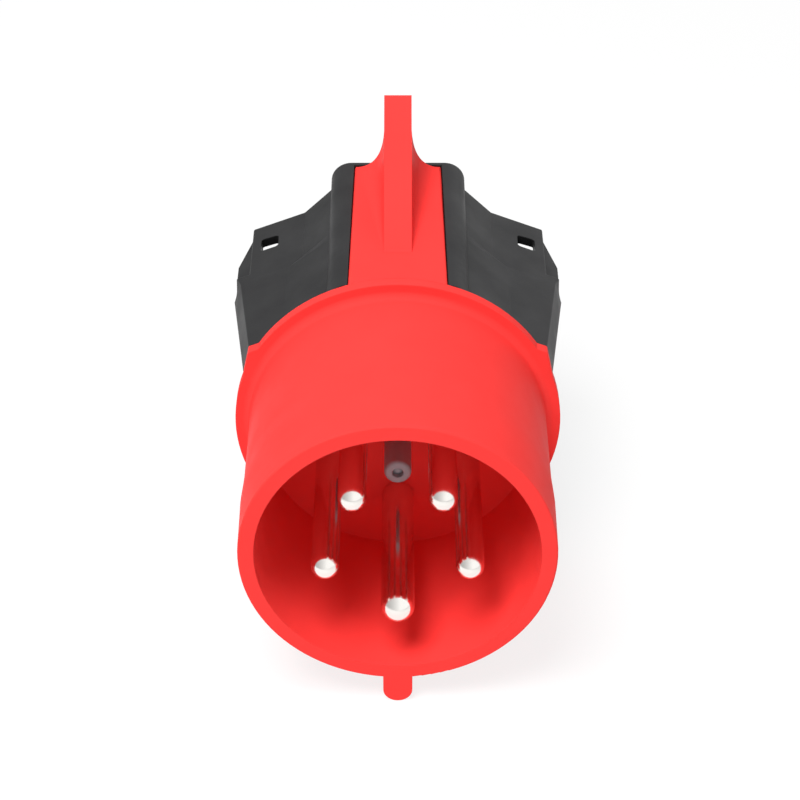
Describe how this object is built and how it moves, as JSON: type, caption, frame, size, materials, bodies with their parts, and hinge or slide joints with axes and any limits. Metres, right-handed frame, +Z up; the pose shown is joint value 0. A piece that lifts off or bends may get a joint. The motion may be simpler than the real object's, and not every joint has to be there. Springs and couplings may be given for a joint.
{
  "type": "ev charging adapter",
  "caption": "Adapter plug for a mobile charger: red five-pin industrial plug sleeve with grip fin on a black rear hood with side release levers.",
  "frame": {"origin": "middle of the bounding box at its lowest plane, on which the adapter rests", "axes": "+Y from the plug's pins to the rear hood, +Z up with the key below and the grip fin on top, +X to the right as seen from the pins"},
  "size_m": [0.064, 0.085, 0.0801],
  "materials": {
    "red_plastic": "fine spark-eroded satin",
    "black_plastic": "fine spark-eroded satin",
    "grey_plastic": "satin",
    "nickel_plate": "polished",
    "tinned_brass": "turned",
    "screw_steel": "zinc plated",
    "spring_steel": "drawn wire",
    "seal_rubber": "matt",
    "epoxy": "glossy",
    "board": "solder mask",
    "ceramic_body": "matt"
  },
  "bodies": {
    "adapter": {"plug_housing": "red_plastic", "rear_housing": "black_plastic", "contact_carrier": "grey_plastic", "contact_block": "black_plastic", "centre_post": "grey_plastic", "temperature_sensor": "epoxy", "coding_board": "board", "coding_resistor": "ceramic_body", "housing_gasket": "seal_rubber", "block_seal": "seal_rubber", "block_screws": "screw_steel", "pin_l1": "nickel_plate", "pin_seal_l1": "seal_rubber", "socket_l1": "tinned_brass", "pin_l2": "nickel_plate", "pin_seal_l2": "seal_rubber", "socket_l2": "tinned_brass", "pin_l3": "nickel_plate", "pin_seal_l3": "seal_rubber", "socket_l3": "tinned_brass", "pin_n": "nickel_plate", "pin_seal_n": "seal_rubber", "socket_n": "tinned_brass", "pin_pe": "nickel_plate", "pin_seal_pe": "seal_rubber", "socket_pe": "tinned_brass", "latch_pin_left": "screw_steel", "latch_spring_left": "spring_steel", "signal_pin_left": "nickel_plate", "latch_pin_right": "screw_steel", "latch_spring_right": "spring_steel", "signal_pin_right": "nickel_plate"},
    "latch_left": {"latch_left": "black_plastic"},
    "latch_right": {"latch_right": "black_plastic"}
  },
  "joints": [
    {"name": "latch_left_hinge", "type": "hinge", "parent": "adapter", "child": "latch_left", "pos_m": [-0.0244, 0.01, 0.0336], "axis": [0, 0, -1], "range_deg": [0, 4.5], "stiffness_Nm_per_rad": 0.175, "springref_deg": -9.17, "deforming": ["latch_spring_left"]},
    {"name": "latch_right_hinge", "type": "hinge", "parent": "adapter", "child": "latch_right", "pos_m": [0.0244, 0.01, 0.0336], "axis": [0, 0, 1], "range_deg": [0, 4.5], "stiffness_Nm_per_rad": 0.175, "springref_deg": -9.17, "deforming": ["latch_spring_right"]}
  ]
}
